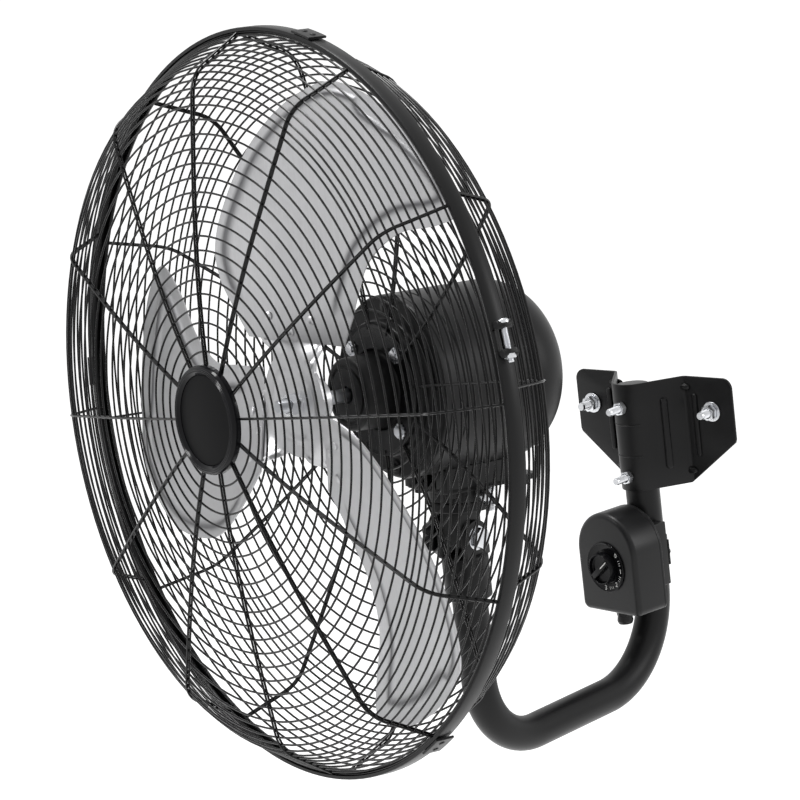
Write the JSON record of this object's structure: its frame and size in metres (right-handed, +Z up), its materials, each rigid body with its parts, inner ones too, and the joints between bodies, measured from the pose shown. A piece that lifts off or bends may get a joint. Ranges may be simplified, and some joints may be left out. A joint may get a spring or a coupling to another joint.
{
  "type": "wall mounted fan",
  "caption": "Wall mounted industrial fan: guarded aluminium blades on a tilting motor head, carried by a J-shaped tube with a switch box and a folded wall bracket.",
  "frame": {"origin": "on the wall plane, midway between the two wall bolts", "axes": "+Z up along the wall, +Y into the wall, the fan's head on the -Y side"},
  "size_m": [0.6401, 0.571, 0.6978],
  "materials": {
    "black_coat": "satin black powder coat",
    "black_wire": "semi-gloss black powder coat",
    "black_plastic": "satin moulded plastic",
    "gloss_black_plastic": "gloss moulded plastic",
    "zinc_plate": "bright zinc plate",
    "blade_aluminium": "satin rolled sheet",
    "machined_steel": "ground steel",
    "laminated_steel": "stacked laminations",
    "copper_winding": "enamelled wire",
    "pale_plastic": "moulded plastic"
  },
  "bodies": {
    "wall_side": {"wall_bracket": "black_coat", "arm_tube": "black_coat", "tube_plug": "black_plastic", "wall_bolt_left": "zinc_plate", "wall_washer_left": "zinc_plate", "wall_nut_left": "zinc_plate", "wall_bolt_right": "zinc_plate", "wall_washer_right": "zinc_plate", "wall_nut_right": "zinc_plate", "clamp_bolt_upper": "zinc_plate", "clamp_nut_upper": "zinc_plate", "clamp_bolt_lower": "zinc_plate", "clamp_nut_lower": "zinc_plate", "switch_box_housing": "black_plastic", "switch_box_cover": "black_plastic", "switch_box_strap": "zinc_plate", "strap_screw_left": "zinc_plate", "strap_screw_right": "zinc_plate", "dial_ring": "gloss_black_plastic", "rotary_switch": "pale_plastic", "cable_gland": "black_plastic", "tilt_fork": "black_coat", "tilt_bolt": "zinc_plate"},
    "neck": {"neck": "black_coat", "pivot_nut": "zinc_plate"},
    "head": {"head_base": "black_coat", "motor_front_bell": "black_coat", "motor_shell": "black_coat", "stator_core": "laminated_steel", "winding_head_front": "copper_winding", "winding_head_rear": "copper_winding", "bearing_bracket": "machined_steel", "bearing_front": "machined_steel", "bearing_rear": "machined_steel", "run_capacitor": "pale_plastic", "rear_guard": "black_wire", "front_guard": "black_wire", "guard_band": "black_coat", "band_bolt": "zinc_plate", "band_nut": "zinc_plate", "band_clip_1": "black_coat", "band_clip_2": "black_coat", "band_clip_3": "black_coat", "cap_bezel": "gloss_black_plastic", "cap_disc": "black_plastic", "guard_screw_1": "zinc_plate", "guard_screw_2": "zinc_plate", "guard_screw_3": "zinc_plate", "guard_screw_4": "zinc_plate"},
    "rotor": {"motor_shaft": "machined_steel", "rotor_core": "laminated_steel", "spider_hub": "blade_aluminium", "hub_nut": "zinc_plate", "blade_1": "blade_aluminium", "blade_2": "blade_aluminium", "blade_3": "blade_aluminium"},
    "speed_knob": {"speed_knob": "gloss_black_plastic", "switch_shaft": "machined_steel"},
    "tilt_lock_knob": {"tilt_lock_knob": "gloss_black_plastic"},
    "pan_lock_screw": {"pan_lock_screw": "zinc_plate"}
  },
  "joints": [
    {"name": "head_tilt", "type": "hinge", "parent": "wall_side", "child": "neck", "pos_m": [0, -0.289, -0.048], "axis": [1, 0, 0], "range_deg": [-26, 24]},
    {"name": "head_pan", "type": "hinge", "parent": "neck", "child": "head", "pos_m": [0, -0.289, -0.048], "axis": [0, 0.0698, 0.9976], "range_deg": [-31, 59]},
    {"name": "blade_spin", "type": "hinge", "parent": "head", "child": "rotor", "pos_m": [0, -0.27896, 0.09565], "axis": [-0.2419, -0.9679, 0.0677], "continuous": true},
    {"name": "speed_knob_turn", "type": "hinge", "parent": "wall_side", "child": "speed_knob", "pos_m": [-0.00779, -0.08446, -0.134], "axis": [-0.1392, -0.9903, 0], "range_deg": [0, 135]},
    {"name": "tilt_lock_turn", "type": "hinge", "parent": "wall_side", "child": "tilt_lock_knob", "pos_m": [0, -0.289, -0.048], "axis": [1, 0, 0], "range_deg": [0, 360]},
    {"name": "pan_lock_turn", "type": "hinge", "parent": "head", "child": "pan_lock_screw", "pos_m": [0, -0.28612, -0.0068], "axis": [0.9703, -0.2413, 0.0169], "range_deg": [0, 360]}
  ]
}
